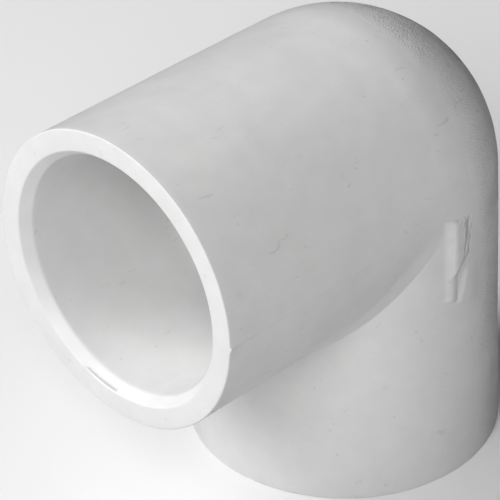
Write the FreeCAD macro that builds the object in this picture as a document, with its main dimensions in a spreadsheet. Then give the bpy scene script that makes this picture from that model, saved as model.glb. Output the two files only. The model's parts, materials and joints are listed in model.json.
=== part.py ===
"""90 degree socket elbow for 3/4 inch Schedule 40 PVC pipe, one injection moulding.

Millimetres. The fitting stands on the rim of its lower hub: Z is the lower socket's
axis, the origin is on that axis in the plane of the rim, and the front hub's mouth
faces +X. Both socket axes lie in the XZ plane and cross at the elbow's centre, and
every sketch but the corner's has that centre as its own origin.
"""

import FreeCAD, Part
import Sketcher
import math
import os

PARTS_FOLDER = "parts"
NODE = "elbow_body"
SAME = 1e-6

# alias, value, what it measures
DIMENSIONS = [
    ("centre_to_end", 33.3, "axis crossing to either rim"),
    ("mouth_radius", 16.65, "outside of a hub at its rim"),
    ("body_radius", 16.0, "outside of the body where the hubs meet"),
    ("bend_radius", 2.1, "centreline radius of the back corner"),
    ("rim_edge_radius", 0.15, "rounding of a rim's outer edge"),
    ("socket_radius", 13.36, "mean radius of a solvent weld socket"),
    ("socket_depth", 19.0, "rim to pipe stop"),
    ("lead_in_width", 0.85, "radial width of the bevel inside a rim"),
    ("lead_in_depth", 1.2, "axial depth of the bevel inside a rim"),
    ("waterway_radius", 11.4, "passage between the two pipe stops"),
    ("gate_length", 10.6, "gate vestige, along the lower hub"),
    ("gate_width", 2.4, "gate vestige, across the lower hub"),
    ("gate_height", 0.55, "gate vestige, standing proud of the body radius"),
    ("gate_edge_radius", 0.2, "rounding of the vestige's outer edges"),
    ("gate_drop", 6.0, "axis crossing down to the middle of the vestige"),
    ("gate_offset", 0.5, "middle of the vestige, forward of the lower axis"),
    ("gate_root", 1.0, "how far the vestige is rooted into the wall"),
]

TO_CENTRE = {"y": "dims.centre_to_end"}


def make_sheet(doc):
    """Write the driving dimensions into a spreadsheet, one aliased cell each."""
    sheet = doc.addObject("Spreadsheet::Sheet", "dims")
    for row, (alias, value, note) in enumerate(DIMENSIONS, start=1):
        sheet.set(f"A{row}", note)
        sheet.set(f"B{row}", str(value))
        sheet.setAlias(f"B{row}", alias)
    doc.recompute()
    return sheet


def new_sketch(body, name, role, offset):
    """Attach a sketch to one of the body's origin planes, moved by the formulas given."""
    sketch = body.newObject("Sketcher::SketchObject", name)
    plane = next(f for f in body.Origin.OriginFeatures if f.Role == role)
    sketch.AttachmentSupport = [(plane, "")]
    sketch.MapMode = "FlatFace"
    for axis, formula in offset.items():
        sketch.setExpression(f"AttachmentOffset.Base.{axis}", formula)
    return sketch


def dimension(sketch, kind, formula, *geometry):
    """Add one dimension whose value is a formula on the spreadsheet."""
    value = float(sketch.evalExpression(formula))
    index = sketch.addConstraint(Sketcher.Constraint(kind, *geometry, value))
    sketch.setExpression(f"Constraints[{index}]", formula)


def draw_outline(sketch, corners):
    """Draw a closed outline of straight lines, each corner given by two formulas."""
    count = len(corners)
    spots = [FreeCAD.Vector(*map(sketch.evalExpression, c)) for c in corners]
    for i in range(count):
        sketch.addGeometry(Part.LineSegment(spots[i], spots[(i + 1) % count]), False)
    for i in range(count):
        following = (i + 1) % count
        sketch.addConstraint(Sketcher.Constraint("Coincident", i, 2, following, 1))
    for i, (across, up) in enumerate(corners):
        dimension(sketch, "DistanceX", across, -1, 1, i, 1)
        dimension(sketch, "DistanceY", up, -1, 1, i, 1)


def draw_outer_segment(sketch, radius):
    """Draw the part of a pipe's round section that lies outside the bend's axis.

    The sketch's vertical axis is the bend's axis, and the section's middle is one
    bend radius to the left of it.
    """
    size = sketch.evalExpression(radius)
    shift = sketch.evalExpression("dims.bend_radius")
    half = math.acos(shift / size)
    middle = FreeCAD.Vector(-shift, 0, 0)
    circle = Part.Circle(middle, FreeCAD.Vector(0, 0, 1), size)
    top = FreeCAD.Vector(0, size * math.sin(half), 0)
    arc, chord = 0, 1
    sketch.addGeometry(Part.ArcOfCircle(circle, half, 2 * math.pi - half), False)
    sketch.addGeometry(Part.LineSegment(-top, top), False)
    sketch.addConstraint(Sketcher.Constraint("Coincident", arc, 2, chord, 1))
    sketch.addConstraint(Sketcher.Constraint("Coincident", chord, 2, arc, 1))
    for end in (1, 2):
        sketch.addConstraint(Sketcher.Constraint("PointOnObject", arc, end, -2))
    sketch.addConstraint(Sketcher.Constraint("PointOnObject", arc, 3, -1))
    dimension(sketch, "DistanceX", "-dims.bend_radius", -1, 1, arc, 3)
    dimension(sketch, "Radius", radius, arc)


def turn(body, kind, name, sketch, axis, angle):
    """Revolve a sketch about one of its own axes, checking that the volume follows."""
    before = body.Shape.Volume if body.Tip else 0.0
    feature = body.newObject(kind, name)
    feature.Profile = sketch
    feature.ReferenceAxis = (sketch, [axis])
    feature.Angle = angle
    body.Document.recompute()
    change = body.Shape.Volume - before
    if (kind == "PartDesign::Groove") == (change >= 0):
        raise RuntimeError(f"{name} changed the volume by {change:.1f} cubic mm")


def along_each_axis(corners):
    """Give an outline drawn along the front socket's axis, and the lower socket's."""
    yield "front", "H_Axis", corners
    yield "lower", "V_Axis", [(away, f"-({along})") for along, away in corners]


def add_hubs(body):
    """Add the two hubs, each a cone that widens a little towards its rim."""
    outline = [
        ("dims.bend_radius", "0"),
        ("dims.centre_to_end", "0"),
        ("dims.centre_to_end", "dims.mouth_radius"),
        ("dims.bend_radius", "dims.body_radius"),
    ]
    for side, axis, corners in along_each_axis(outline):
        sketch = new_sketch(body, f"{side}_hub_outline", "XZ_Plane", TO_CENTRE)
        draw_outline(sketch, corners)
        turn(body, "PartDesign::Revolution", f"{side}_hub", sketch, axis, 360)


def turn_corner(body, kind, name, radius):
    """Carry a pipe of this radius round the back of the corner between the axes."""
    offset = {"x": "dims.bend_radius", "z": "dims.centre_to_end - dims.bend_radius"}
    sketch = new_sketch(body, f"{name}_outline", "XY_Plane", offset)
    draw_outer_segment(sketch, radius)
    turn(body, kind, name, sketch, "V_Axis", 90)


def circles_at(shape, radius, centres):
    """Name the circular edges of this radius round any of these centres."""
    names = []
    for number, edge in enumerate(shape.Edges, start=1):
        if edge.Degenerated or not isinstance(edge.Curve, Part.Circle):
            continue
        if abs(edge.Curve.Radius - radius) > SAME:
            continue
        if any(edge.Curve.Center.isEqual(centre, SAME) for centre in centres):
            names.append(f"Edge{number}")
    return names


def round_rims(body, sheet):
    """Round the outer edge of both rims."""
    front = FreeCAD.Vector(sheet.centre_to_end, 0, sheet.centre_to_end)
    edges = circles_at(body.Shape, sheet.mouth_radius, [front, FreeCAD.Vector()])
    base = body.Tip
    rounding = body.newObject("PartDesign::Fillet", "rim_edges")
    rounding.Base = (base, edges)
    rounding.setExpression("Radius", "dims.rim_edge_radius")
    body.Document.recompute()


def add_gate_vestige(body, sheet):
    """Leave the stub of the moulding gate on the lower hub, facing +Y."""
    root = {**TO_CENTRE, "z": "-(dims.body_radius - dims.gate_root)"}
    sketch = new_sketch(body, "gate_outline", "XZ_Plane", root)
    back = "dims.gate_offset - dims.gate_width / 2"
    front = "dims.gate_offset + dims.gate_width / 2"
    low = "-dims.gate_drop - dims.gate_length / 2"
    high = "-dims.gate_drop + dims.gate_length / 2"
    draw_outline(sketch, [(back, low), (front, low), (front, high), (back, high)])
    before = body.Shape.Volume
    pad = body.newObject("PartDesign::Pad", "gate_vestige")
    pad.Profile = sketch
    pad.Reversed = True
    pad.setExpression("Length", "dims.gate_root + dims.gate_height")
    body.Document.recompute()
    if body.Shape.Volume <= before:
        raise RuntimeError("the gate vestige does not stand proud of the hub")
    soften_gate(body, pad, sheet)


def soften_gate(body, pad, sheet):
    """Round the outer edges of the gate vestige."""
    outside = sheet.body_radius + sheet.gate_height
    edges = [
        f"Edge{number}"
        for number, edge in enumerate(pad.Shape.Edges, start=1)
        if all(abs(v.Y - outside) < SAME for v in edge.Vertexes)
    ]
    rounding = body.newObject("PartDesign::Fillet", "gate_edges")
    rounding.Base = (pad, edges)
    rounding.setExpression("Radius", "dims.gate_edge_radius")
    body.Document.recompute()


def cut_sockets(body):
    """Cut both sockets: lead-in bevel, pipe socket, pipe stop and straight waterway."""
    stop = "dims.centre_to_end - dims.socket_depth"
    outline = [
        ("dims.bend_radius", "0"),
        ("dims.centre_to_end", "0"),
        ("dims.centre_to_end", "dims.socket_radius + dims.lead_in_width"),
        ("dims.centre_to_end - dims.lead_in_depth", "dims.socket_radius"),
        (stop, "dims.socket_radius"),
        (stop, "dims.waterway_radius"),
        ("dims.bend_radius", "dims.waterway_radius"),
    ]
    for side, axis, corners in along_each_axis(outline):
        sketch = new_sketch(body, f"{side}_socket_outline", "XZ_Plane", TO_CENTRE)
        draw_outline(sketch, corners)
        turn(body, "PartDesign::Groove", f"{side}_socket", sketch, axis, 360)


def make_elbow(doc, sheet):
    """Build the fitting as one body, outside first and then the passage through it."""
    body = doc.addObject("PartDesign::Body", NODE)
    body.Label = NODE
    add_hubs(body)
    turn_corner(body, "PartDesign::Revolution", "back_corner", "dims.body_radius")
    round_rims(body, sheet)
    add_gate_vestige(body, sheet)
    cut_sockets(body)
    turn_corner(body, "PartDesign::Groove", "waterway_corner", "dims.waterway_radius")
    body.Placement = FreeCAD.Placement()
    doc.recompute()
    return body


def check(doc, bodies):
    """Stop if any object failed to compute or any sub-part is not one valid solid."""
    for item in doc.Objects:
        if {"Invalid", "Error"} & set(item.State):
            raise RuntimeError(f"{item.Name} did not compute: {item.State}")
    for body in bodies:
        shape = body.Shape
        if shape.isNull() or not shape.isValid() or len(shape.Solids) != 1:
            raise RuntimeError(f"{body.Label} is not one valid solid")


def main():
    doc = FreeCAD.newDocument("socket_elbow")
    sheet = make_sheet(doc)
    bodies = [make_elbow(doc, sheet)]
    check(doc, bodies)
    os.makedirs(PARTS_FOLDER, exist_ok=True)
    for body in bodies:
        body.Shape.exportStep(os.path.join(PARTS_FOLDER, f"{body.Label}.step"))
        print(f"{body.Label}: {body.Shape.Volume / 1000:.2f} cubic cm")


main()
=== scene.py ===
"""White PVC socket elbow, standing on its lower rim on a pale floor in soft light.

Shapes are worked out in millimetres from the elbow's centre, where its two socket axes
cross, and are moved to the frame's place and scaled to metres as they become meshes.
"""

import bpy
import json
import math
import numpy as np
from mathutils import Matrix, Vector


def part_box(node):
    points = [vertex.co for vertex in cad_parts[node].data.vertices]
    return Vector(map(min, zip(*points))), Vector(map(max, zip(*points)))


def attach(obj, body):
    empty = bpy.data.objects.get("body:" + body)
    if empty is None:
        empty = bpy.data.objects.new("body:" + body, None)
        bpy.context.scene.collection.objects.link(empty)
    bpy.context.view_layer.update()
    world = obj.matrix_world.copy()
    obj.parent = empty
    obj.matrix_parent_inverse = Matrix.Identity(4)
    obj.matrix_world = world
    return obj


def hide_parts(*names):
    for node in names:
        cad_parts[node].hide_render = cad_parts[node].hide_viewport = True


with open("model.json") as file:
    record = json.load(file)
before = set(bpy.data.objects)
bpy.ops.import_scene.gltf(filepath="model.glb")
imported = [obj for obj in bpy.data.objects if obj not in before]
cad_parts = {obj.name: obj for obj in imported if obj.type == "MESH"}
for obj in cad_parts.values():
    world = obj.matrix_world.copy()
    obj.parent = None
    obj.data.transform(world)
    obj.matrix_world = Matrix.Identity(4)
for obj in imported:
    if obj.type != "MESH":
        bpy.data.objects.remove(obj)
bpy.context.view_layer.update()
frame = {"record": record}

MM = 0.001
WAVES = 14

# ---------------------------------------------------------------- sizes, millimetres

low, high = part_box("elbow_body")
MOUTH_RADIUS = high.y / MM
CENTRE_TO_END = high.x / MM
CENTRE = Vector((0.0, 0.0, CENTRE_TO_END * MM))
mounts = {m["name"]: m for m in frame["record"]["mounts"]}
SOCKET_RADIUS = mounts["front_socket"]["dims"]["r_mm"]

BODY_RADIUS = 16.0
BEND_RADIUS = 2.1
CROTCH_FRONT = 2.4
CROTCH_LOWER = 1.0
CROTCH_SOFTNESS = 0.5
CROTCH_BEVEL = 0.85

RIM_EDGE = 0.15
LEAD_IN_WIDTH = 0.85
LEAD_IN_DEPTH = 1.2
SOCKET_DEPTH = 19.0
WATERWAY_RADIUS = 11.4
STOP_ROUNDING = 0.4
RIM_INNER_EDGE = 0.3
BORE_EDGE = 0.8
PROFILE_LAP = 1.2
HUB_END = CENTRE_TO_END - 1.5

# The slit's ends are angles round the front mouth, in degrees from its top over +Y.
SLIT_START = 179.5
SLIT_END = 200.0
SLIT_DEPTH = 0.5
SLIT_HALF_WIDTH = 0.07
SLIT_RUN_OUT = 4.0

# The gate's top and bottom are depths below the centre; its front is forward of it.
GATE_TOP = 0.6
GATE_TOP_SLANT = 0.25
GATE_BOTTOM = 11.2
GATE_BOTTOM_SLANT = 0.36
GATE_FRONT = 2.1
GATE_FRONT_SLANT = 0.035
GATE_FOOT = 0.7
GATE_RAMP = 2.0
GATE_HEIGHT = 0.5
GATE_SINK = 0.015
TORN_BACK = -1.0
TORN_STEP = 2.15
TORN_FALL = 1.1
SCAR_WIDTH = 0.4
SCAR_DEPTH = 0.03
LUMP_HEIGHT = 0.17

LINE_HEIGHT = 0.04
LINE_UNDERCUT = 0.07
NIB_HEIGHT = 0.22
NIB_LENGTH = 0.5


# ---------------------------------------------------------------- small helpers


def smooth_step(zero_at, one_at, value):
    """Go from 0 at zero_at to 1 at one_at with soft ends, held outside."""
    t = np.clip((value - zero_at) / (one_at - zero_at), 0.0, 1.0)
    return t * t * (3.0 - 2.0 * t)


def fall(one_at, zero_at, value):
    """Go straight from 1 at one_at to 0 at zero_at, held outside."""
    return np.clip((value - zero_at) / (one_at - zero_at), 0.0, 1.0)


def soft_max(a, b, softness):
    """The larger of two values, rounded where they cross."""
    return 0.5 * (a + b + np.sqrt((a - b) ** 2 + softness**2))


def ripple(points, seed, wavelength):
    """Smooth seeded noise of about unit size: plane waves in random directions."""
    draw = np.random.RandomState(seed)
    total = np.zeros(points.shape[:-1])
    for _ in range(WAVES):
        heading = draw.normal(size=3)
        heading /= np.linalg.norm(heading)
        number = 2.0 * math.pi / (wavelength * draw.uniform(0.7, 1.5))
        total += np.sin(points @ heading * number + draw.uniform(0, 2 * math.pi))
    return total / math.sqrt(WAVES / 2.0)


# ---------------------------------------------------------------- the elbow's mesh
# The mesh is one grid. Its columns are angles round the pipe, from the top of the front
# hub over the +Y side. Its rows run from the front mouth over the outside to the lower
# mouth, then back inside through the lower socket, the waterway and the front socket.


def column_angles():
    """Even columns, with fine ones over the gate vestige and the parting lines."""
    even = np.arange(0.0, 360.0, 2.0)
    gate = 90.0 + np.degrees(np.arange(-2.9, 2.9, 0.1) / BODY_RADIUS)
    seam = 270.0 + np.degrees(np.arange(-0.5, 0.51, 0.1) / BODY_RADIUS)
    keep = (np.abs(even - 90.0) > 11.0) & (np.abs(even - 270.0) > 2.5)
    return np.radians(np.sort(np.concatenate([even[keep], gate, seam])))


AROUND = column_angles()
SIDE, UP = np.sin(AROUND), np.cos(AROUND)


def hub_radius(reach):
    """Outside radius of a hub at this distance from the centre."""
    taper = (MOUTH_RADIUS - BODY_RADIUS) / (CENTRE_TO_END - BEND_RADIUS)
    return BODY_RADIUS + taper * np.maximum(reach - BEND_RADIUS, 0.0)


def pipe_rows(radius, end, reaches, bevel, front, turn, lower):
    """Rows of an elbow-shaped pipe: straight, a quarter turn, straight.

    Each column stays in a plane of constant Y and turns through a quarter of an
    ellipse; reaches are its two half widths, along the front and the lower pipe. bevel
    moves the ellipse towards its chord, from 0 to 1. front and lower run from 0 at the
    turn to 1 at the pipe's ends, and turn is in radians.
    """
    level = radius * UP
    along_front, along_lower = reaches
    points, normals = [], []
    for share in front:
        start = along_front - level
        along = start + (end - start) * share
        points.append(np.stack([along, radius * SIDE, level], -1))
        normals.append(np.stack([0 * UP, SIDE, UP], -1))
    for angle in turn:
        sine, cosine = math.sin(angle), math.cos(angle)
        share = angle / (math.pi / 2)
        forward = along_front * ((1 - sine) * (1 - bevel) + (1 - share) * bevel) - level
        drop = along_lower * ((1 - cosine) * (1 - bevel) + share * bevel) - level
        points.append(np.stack([forward, radius * SIDE, -drop], -1))
        normals.append(np.stack([-sine * UP, SIDE, cosine * UP], -1))
    for share in lower:
        start = along_lower - level
        along = start + (end - start) * share
        points.append(np.stack([-level, radius * SIDE, -along], -1))
        normals.append(np.stack([-UP, SIDE, 0 * UP], -1))
    return np.array(points), np.array(normals)


def outside_reaches():
    """How far the outside's turn runs along each hub, for every column."""
    bend = BEND_RADIUS + BODY_RADIUS * UP
    return (
        soft_max(bend, CROTCH_FRONT, CROTCH_SOFTNESS),
        soft_max(bend, CROTCH_LOWER, CROTCH_SOFTNESS),
    )


def rounded_profile(corners, spacing):
    """Walk a profile of (reach, radius, rounding) corners, rounding each with an arc."""
    spots = [np.array(c[:2]) for c in corners]
    walk = [spots[0]]
    for i in range(1, len(corners) - 1):
        before = spots[i - 1] - spots[i]
        after = spots[i + 1] - spots[i]
        before /= np.linalg.norm(before)
        after /= np.linalg.norm(after)
        half = math.acos(np.clip(before @ after, -1, 1)) / 2
        rounding = corners[i][2]
        bisector = (before + after) / np.linalg.norm(before + after)
        middle = spots[i] + bisector * rounding / math.sin(half)
        start = spots[i] + before * rounding / math.tan(half)
        finish = spots[i] + after * rounding / math.tan(half)
        walk += list(fill(walk[-1], start, spacing))
        for share in (0.2, 0.4, 0.6, 0.8):
            chord = start + (finish - start) * share - middle
            walk.append(middle + chord * rounding / np.linalg.norm(chord))
        walk.append(finish)
    walk += list(fill(walk[-1], spots[-1], spacing))
    return walk


def fill(start, finish, spacing):
    """Points from start to finish at about this spacing, without the start."""
    count = max(1, round(float(np.linalg.norm(finish - start)) / spacing))
    return [start + (finish - start) * (i + 1) / count for i in range(count)]


def mouth_profile():
    """A mouth's section, from the outside of the hub in to the waterway."""
    stop = CENTRE_TO_END - SOCKET_DEPTH
    flat_radius = SOCKET_RADIUS + LEAD_IN_WIDTH
    return rounded_profile(
        [
            (HUB_END, hub_radius(HUB_END), 0.0),
            (CENTRE_TO_END, MOUTH_RADIUS, RIM_EDGE),
            (CENTRE_TO_END, flat_radius, RIM_INNER_EDGE),
            (CENTRE_TO_END - LEAD_IN_DEPTH, SOCKET_RADIUS, BORE_EDGE),
            (stop, SOCKET_RADIUS, STOP_ROUNDING),
            (stop, WATERWAY_RADIUS, STOP_ROUNDING),
            (stop - PROFILE_LAP, WATERWAY_RADIUS, 0.0),
        ],
        spacing=0.7,
    )


def ring(reach, radius, lower):
    """One row of the mesh round either socket's axis."""
    if lower:
        return np.stack([-radius * UP, radius * SIDE, 0 * UP - reach], -1)
    return np.stack([0 * UP + reach, radius * SIDE, radius * UP], -1)


def gate_bottom(x):
    """Depth of the gate's slanting lower edge."""
    return GATE_BOTTOM - GATE_BOTTOM_SLANT * (x - 0.5)


def gate_ends(x, depth, front):
    """1 between the gate's upper and lower edges, 0 outside them."""
    top = GATE_TOP + GATE_TOP_SLANT * (front - np.maximum(x, 0.6) + np.maximum(0.6 - x, 0))
    blend = 0.25 + 0.15 * smooth_step(0.6, 0.0, x)
    ends = smooth_step(top - 0.2, top + blend, depth)
    bottom = gate_bottom(x)
    return ends * smooth_step(bottom + 0.15, bottom - 0.35, depth)


def torn_edge(depth, ragged):
    """Where the gate tore off: behind its middle above, stepping forward lower down."""
    torn = TORN_BACK + 0.1 * ragged - 0.3 * smooth_step(2.2, 0.9, depth)
    torn = torn + TORN_STEP * smooth_step(5.8, 8.4, depth)
    return torn - 0.1 * smooth_step(10.2, 11.0, depth)


def gate_lump(x, depth):
    """The low lump left beside the lower part of the torn edge."""
    rise = 0.3 * np.maximum(depth, 8.4) - 3.27
    bottom = gate_bottom(x)
    lump = smooth_step(rise, rise - 1.1, x) * smooth_step(-4.2, -1.7, x)
    lump = lump * smooth_step(7.4, 8.6, depth) * smooth_step(bottom + 0.6, bottom, depth)
    return LUMP_HEIGHT * lump


def gate_shape(x, depth, points):
    """Height of the torn gate over the hub, at x forward and depth below centre."""
    ragged = ripple(points, seed=5, wavelength=1.1) * smooth_step(9.0, 7.0, depth)
    crumbs = smooth_step(0.6, 1.6, ripple(points, seed=6, wavelength=0.7))
    foot = GATE_FOOT * smooth_step(10.1, 10.9, depth)
    front = GATE_FRONT - GATE_FRONT_SLANT * depth + foot
    ramp = smooth_step(0.0, 1.0, (front - x) / (GATE_RAMP + foot))
    ends = gate_ends(x, depth, front)
    torn = torn_edge(depth, ragged)
    torn_foot = torn - TORN_FALL - 0.4 * smooth_step(6.0, 8.5, depth)
    crest = GATE_HEIGHT - 0.05 * np.abs(x - 0.5) - 0.07 * np.maximum(0.5 - x, 0.0)
    crest = crest - 0.03 * crumbs * smooth_step(0.2, -0.6, x)
    block = crest * ramp * ends * fall(torn, torn_foot, x)
    scar = np.exp(-(((x - torn + TORN_FALL) / SCAR_WIDTH) ** 2)) * ends
    height = soft_max(block, gate_lump(x, depth), 0.03) - GATE_SINK
    return height - (SCAR_DEPTH + 0.02 * ragged) * scar


def parting_line(points, off_line):
    """A fine ridge where the mould halves met, with the skin a little low below it."""
    on_front_hub = smooth_step(7.0, 13.0, points[..., 0])
    ridge = np.minimum(fall(0.0, 0.45, off_line), fall(0.0, -0.2, off_line))
    strength = LINE_HEIGHT + 0.015 * ripple(points, seed=3, wavelength=7.0)
    ridge = ridge * (np.clip(strength, 0.02, 0.06) * on_front_hub + 0.003)
    below = np.maximum(-off_line, 0.0)
    dip = (1.0 - np.exp(-below / 1.6)) * np.exp(-below / 5.0)
    return ridge - LINE_UNDERCUT * dip * on_front_hub


def rim_nib(points, off_line):
    """A small nib where the parting line meets the front rim."""
    x, z = points[..., 0], points[..., 2]
    from_end = CENTRE_TO_END - soft_max(x, -z, 0.1)
    spread = np.where(off_line > 0.0, 0.12, 0.45)
    nib = np.exp(-((from_end / NIB_LENGTH) ** 2) - (off_line / spread) ** 2)
    return NIB_HEIGHT * nib * (x > -z)


def skin_height(points):
    """How far the moulded outside stands off its nominal shape."""
    x, y, z = points[..., 0], points[..., 1], points[..., 2]
    height = 0.012 * ripple(points, seed=1, wavelength=9.0)
    height += 0.004 * ripple(points, seed=2, wavelength=3.0)
    off_line = np.where(x > -z, z, x)
    on_sides = np.abs(y) > 10.0
    height += on_sides * (parting_line(points, off_line) + rim_nib(points, off_line))
    near_gate = (y > 0) & (x > -4.0) & (x < 4.0) & (z < 3.0)
    return height + np.where(near_gate, gate_shape(x, -z, points), 0.0)


def outer_rows():
    """The outside from the front mouth to the lower mouth, as moulded."""
    straight = HUB_END - BEND_RADIUS
    front = np.linspace(1.0, 0.0, 45)
    turn = np.linspace(0.0, math.pi / 2, 44)[1:-1]
    fine = np.arange(0.0, 10.8, 0.15) / straight
    lower = np.concatenate([fine, np.linspace(fine[-1], 1.0, 32)[1:]])
    bevel = CROTCH_BEVEL * smooth_step(-0.05, -0.25, UP)
    points, normals = pipe_rows(
        BODY_RADIUS, HUB_END, outside_reaches(), bevel, front, turn, lower
    )
    reach = soft_max(points[..., 0], -points[..., 2], 0.5)
    grow = hub_radius(reach) - BODY_RADIUS + skin_height(points)
    return points + normals * grow[..., None]


def waterway_rows():
    """The passage from the lower pipe stop up and round to the front one."""
    end = CENTRE_TO_END - SOCKET_DEPTH - PROFILE_LAP
    share = np.linspace(0.0, 1.0, 12)
    turn = np.linspace(0.0, math.pi / 2, 28)[1:-1]
    reach = soft_max(BEND_RADIUS + WATERWAY_RADIUS * UP, 0.5, 0.6)
    points, _ = pipe_rows(
        WATERWAY_RADIUS, end, (reach, reach), 0.0, share[::-1], turn, share
    )
    return points[::-1]


def slit_depth(reach, radius):
    """Depth of the short slit at the inner edge of the front rim, for every column."""
    on_edge = abs(radius - SOCKET_RADIUS - LEAD_IN_WIDTH) < SLIT_HALF_WIDTH
    on_rim = reach > CENTRE_TO_END - 0.2
    around = np.degrees(AROUND)
    length = smooth_step(SLIT_START, SLIT_START + SLIT_RUN_OUT, around)
    length = length * smooth_step(SLIT_END, SLIT_END - SLIT_RUN_OUT, around)
    return SLIT_DEPTH * length * (on_edge and on_rim)


def mouth_rows(lower):
    """The rows of one mouth, from the outside of the hub in to the waterway."""
    rows = []
    for reach, radius in mouth_profile()[1:-1]:
        if not lower:
            reach = reach - slit_depth(reach, radius)
        row = ring(reach, radius, lower)
        if radius > MOUTH_RADIUS - 2 * RIM_EDGE:
            centre_line = ring(reach, 0.0, lower)
            out = (row - centre_line) / radius
            row = row + out * skin_height(row)[:, None]
        rows.append(row)
    return np.array(rows)


def closed_grid(name, rows):
    """Make a mesh of quads from rows that close on themselves both ways."""
    count, around = rows.shape[:2]
    index = np.arange(count * around).reshape(count, around)
    below = np.roll(index, -1, axis=0)
    quads = np.stack(
        [index, np.roll(index, -1, axis=1), np.roll(below, -1, axis=1), below], -1
    ).reshape(-1, 4)
    mesh = bpy.data.meshes.new(name)
    spots = rows.reshape(-1, 3) * MM + np.array(CENTRE)
    mesh.from_pydata(spots.tolist(), [], quads.tolist())
    mesh.validate()
    mesh.shade_smooth()
    return mesh


def make_elbow():
    """Build the moulding and let it stand for the CAD body."""
    outside = outer_rows()
    into_lower = mouth_rows(lower=True)
    out_of_front = mouth_rows(lower=False)[::-1]
    rows = np.concatenate([outside, into_lower, waterway_rows(), out_of_front])
    elbow = bpy.data.objects.new("elbow_moulding", closed_grid("elbow_moulding", rows))
    bpy.context.scene.collection.objects.link(elbow)
    elbow.data.materials.append(pvc_material())
    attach(elbow, "root")
    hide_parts("elbow_body")


# ---------------------------------------------------------------- material

# Depths and patterns here are in metres, as the shader nodes take them.
WARM_WHITE = (0.722, 0.720, 0.712, 1.0)
COOL_WHITE = (0.712, 0.721, 0.719, 1.0)
PEEL_DEPTH = 0.00001
PIT_DEPTH = 0.0003


def noise(tree, place, scale, detail, distortion=0.0):
    """A noise pattern, 0 to 1, whose features are about 1/scale metres across."""
    node = tree.nodes.new("ShaderNodeTexNoise")
    node.inputs["Scale"].default_value = scale
    node.inputs["Detail"].default_value = detail
    node.inputs["Distortion"].default_value = distortion
    tree.links.new(place, node.inputs["Vector"])
    return node.outputs["Fac"]


def stretched(tree, place, turn, scale):
    """The same place turned and scaled, for patterns that run one way."""
    node = tree.nodes.new("ShaderNodeMapping")
    node.inputs["Rotation"].default_value = turn
    node.inputs["Scale"].default_value = scale
    tree.links.new(place, node.inputs["Vector"])
    return node.outputs["Vector"]


def remap(tree, value, low_in, high_in, low_out, high_out):
    """Map a value from one range to another, held inside the second."""
    node = tree.nodes.new("ShaderNodeMapRange")
    node.inputs["From Min"].default_value = low_in
    node.inputs["From Max"].default_value = high_in
    node.inputs["To Min"].default_value = low_out
    node.inputs["To Max"].default_value = high_out
    tree.links.new(value, node.inputs["Value"])
    return node.outputs["Result"]


def multiply(tree, first, second):
    """Multiply two values."""
    node = tree.nodes.new("ShaderNodeMath")
    node.operation = "MULTIPLY"
    tree.links.new(first, node.inputs[0])
    tree.links.new(second, node.inputs[1])
    return node.outputs["Value"]


def specks(tree, place, scale, size):
    """1 inside sparse tiny spots, 0 elsewhere; size is a share of a cell."""
    node = tree.nodes.new("ShaderNodeTexVoronoi")
    node.inputs["Scale"].default_value = scale
    tree.links.new(place, node.inputs["Vector"])
    return remap(tree, node.outputs["Distance"], size, 0.4 * size, 0.0, 1.0)


def bump(tree, height, depth, below=None):
    """Stand a 0 to 1 height pattern up by depth metres."""
    node = tree.nodes.new("ShaderNodeBump")
    node.inputs["Strength"].default_value = 1.0
    node.inputs["Distance"].default_value = depth
    tree.links.new(height, node.inputs["Height"])
    if below is not None:
        tree.links.new(below, node.inputs["Normal"])
    return node.outputs["Normal"]


def pvc_tone(tree, place):
    """How light the plastic is: faint mottling, dust specks, grime and short scuffs."""
    mottling = remap(tree, noise(tree, place, 90.0, 3.0), 0.3, 0.7, 0.975, 1.02)
    blotches = remap(tree, noise(tree, place, 420.0, 4.0), 0.3, 0.7, 0.975, 1.02)
    dust = remap(tree, specks(tree, place, 330.0, 0.06), 0.0, 1.0, 1.0, 0.84)
    grime = remap(tree, specks(tree, place, 130.0, 0.08), 0.0, 1.0, 1.0, 0.95)
    along = stretched(tree, place, (0.3, 0.5, 0.9), (300.0, 1300.0, 800.0))
    scuffs = remap(tree, noise(tree, along, 1.0, 2.0, 1.2), 0.7, 0.77, 1.0, 0.88)
    across = stretched(tree, place, (1.2, 0.2, 2.3), (450.0, 1100.0, 900.0))
    scratches = remap(tree, noise(tree, across, 1.0, 3.0, 1.2), 0.7, 0.77, 1.0, 0.88)
    tone = mottling
    for layer in (blotches, dust, grime, scuffs, scratches):
        tone = multiply(tree, tone, layer)
    return tone


def pvc_colour(tree, place):
    """The plastic's colour: a white that drifts between warm and cool, times its tone."""
    tint = tree.nodes.new("ShaderNodeMix")
    tint.data_type = "RGBA"
    tint.inputs["A"].default_value = WARM_WHITE
    tint.inputs["B"].default_value = COOL_WHITE
    tree.links.new(noise(tree, place, 60.0, 2.0), tint.inputs["Factor"])
    shade = tree.nodes.new("ShaderNodeMix")
    shade.data_type = "RGBA"
    shade.blend_type = "MULTIPLY"
    shade.inputs["Factor"].default_value = 1.0
    tree.links.new(tint.outputs["Result"], shade.inputs["A"])
    tree.links.new(pvc_tone(tree, place), shade.inputs["B"])
    return shade.outputs["Result"]


def pvc_grain(tree, place, normal):
    """A faint peel all over, and a coarse grain in patches on the side facing -X."""
    facing = tree.nodes.new("ShaderNodeSeparateXYZ")
    tree.links.new(normal, facing.inputs["Vector"])
    coarse = remap(tree, facing.outputs["X"], -0.2, -0.42, 0.03, 1.0)
    patches = remap(tree, noise(tree, place, 140.0, 3.0), 0.42, 0.54, 0.45, 1.0)
    coarse = multiply(tree, coarse, patches)
    pits = multiply(tree, noise(tree, place, 5500.0, 2.0), coarse)
    peel = bump(tree, noise(tree, place, 700.0, 2.0), PEEL_DEPTH)
    return bump(tree, pits, PIT_DEPTH, peel)


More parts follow.
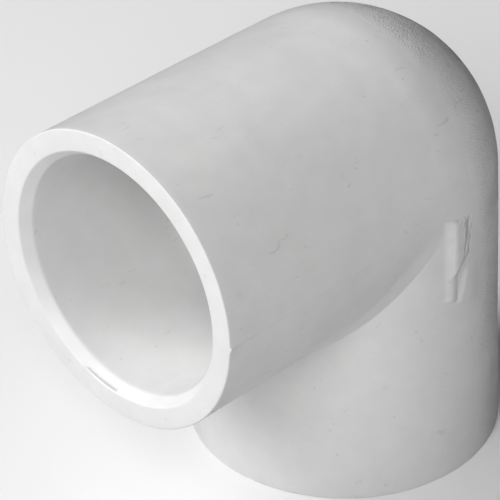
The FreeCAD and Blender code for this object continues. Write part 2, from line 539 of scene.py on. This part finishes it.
def pvc_material():
    """White rigid PVC as moulded, lightly handled."""
    material = bpy.data.materials.new("white_pvc")
    material.use_nodes = True
    tree = material.node_tree
    shader = tree.nodes["Principled BSDF"]
    coordinates = tree.nodes.new("ShaderNodeTexCoord")
    place = coordinates.outputs["Object"]
    worn = remap(tree, noise(tree, place, 260.0, 4.0), 0.3, 0.7, 0.44, 0.56)
    grain = pvc_grain(tree, place, coordinates.outputs["Normal"])
    tree.links.new(pvc_colour(tree, place), shader.inputs["Base Color"])
    tree.links.new(worn, shader.inputs["Roughness"])
    tree.links.new(grain, shader.inputs["Normal"])
    return material


# ---------------------------------------------------------------- stage, light, camera

# Angles are in degrees, the floor and the lights in metres, and the camera's distance,
# aim, lens and sensor in millimetres.
FLOOR_SIZE = 6.0
FLOOR_COLOUR = (0.88, 0.88, 0.88, 1.0)
FLOOR_ROUGHNESS = 0.9
LIGHT_DISTANCE = 0.8
LIGHT_SIZE = 0.4
CAMERA_AZIMUTH = 45.49
CAMERA_ELEVATION = 35.32
CAMERA_ROLL = -0.31
CAMERA_DISTANCE = 545.5
CAMERA_AIM = Vector((11.17, -2.92, -8.78))
CAMERA_LENS = 375.9
CAMERA_SENSOR = 36.0


def direction(azimuth, elevation):
    """Unit vector towards a compass angle from +X and a height, both in degrees."""
    a, e = math.radians(azimuth), math.radians(elevation)
    return Vector((math.cos(a) * math.cos(e), math.sin(a) * math.cos(e), math.sin(e)))


def make_floor():
    """A plain pale floor, kept out of the plastic's gloss so its silhouettes stay dark."""
    half = FLOOR_SIZE / 2
    mesh = bpy.data.meshes.new("floor")
    corners = [(-half, -half, 0), (half, -half, 0), (half, half, 0), (-half, half, 0)]
    mesh.from_pydata(corners, [], [(0, 1, 2, 3)])
    floor = bpy.data.objects.new("floor", mesh)
    bpy.context.scene.collection.objects.link(floor)
    material = bpy.data.materials.new("floor_white")
    material.use_nodes = True
    shader = material.node_tree.nodes["Principled BSDF"]
    shader.inputs["Base Color"].default_value = FLOOR_COLOUR
    shader.inputs["Roughness"].default_value = FLOOR_ROUGHNESS
    floor.data.materials.append(material)
    floor.visible_glossy = False


def make_light(name, azimuth, elevation, watts):
    """A round area light aimed at the elbow's centre."""
    data = bpy.data.lights.new(name, "AREA")
    data.shape = "DISK"
    data.size = LIGHT_SIZE
    data.energy = watts
    light = bpy.data.objects.new(name, data)
    bpy.context.scene.collection.objects.link(light)
    way = direction(azimuth, elevation)
    light.location = CENTRE + way * LIGHT_DISTANCE
    light.rotation_euler = (-way).to_track_quat("-Z", "Y").to_euler()


def make_world():
    """Dark surroundings: all the light comes from the lights and off the floor."""
    world = bpy.data.worlds.new("studio")
    world.use_nodes = True
    world.node_tree.nodes["Background"].inputs["Strength"].default_value = 0.0
    bpy.context.scene.world = world


def make_camera():
    """A long lens looking down at the elbow from its front left."""
    data = bpy.data.cameras.new("camera")
    data.lens = CAMERA_LENS
    data.sensor_width = CAMERA_SENSOR
    data.clip_start = 0.01
    data.clip_end = 10.0
    camera = bpy.data.objects.new("camera", data)
    bpy.context.scene.collection.objects.link(camera)
    way = direction(CAMERA_AZIMUTH, CAMERA_ELEVATION)
    camera.location = CENTRE + (CAMERA_AIM + way * CAMERA_DISTANCE) * MM
    turn = (-way).to_track_quat("-Z", "Y").to_matrix().to_4x4()
    roll = Matrix.Rotation(math.radians(CAMERA_ROLL), 4, "Z")
    camera.rotation_euler = (turn @ roll).to_euler()
    bpy.context.scene.camera = camera


def main():
    """Set the stage and build the elbow."""
    make_camera()
    make_world()
    make_light("key", azimuth=-45.0, elevation=38.0, watts=4.63)
    make_light("front", azimuth=30.0, elevation=38.0, watts=3.6)
    make_light("side", azimuth=120.0, elevation=38.0, watts=0.74)
    make_light("top", azimuth=-15.0, elevation=66.0, watts=0.65)
    make_floor()
    make_elbow()
    bpy.context.scene.view_settings.view_transform = "Standard"


main()
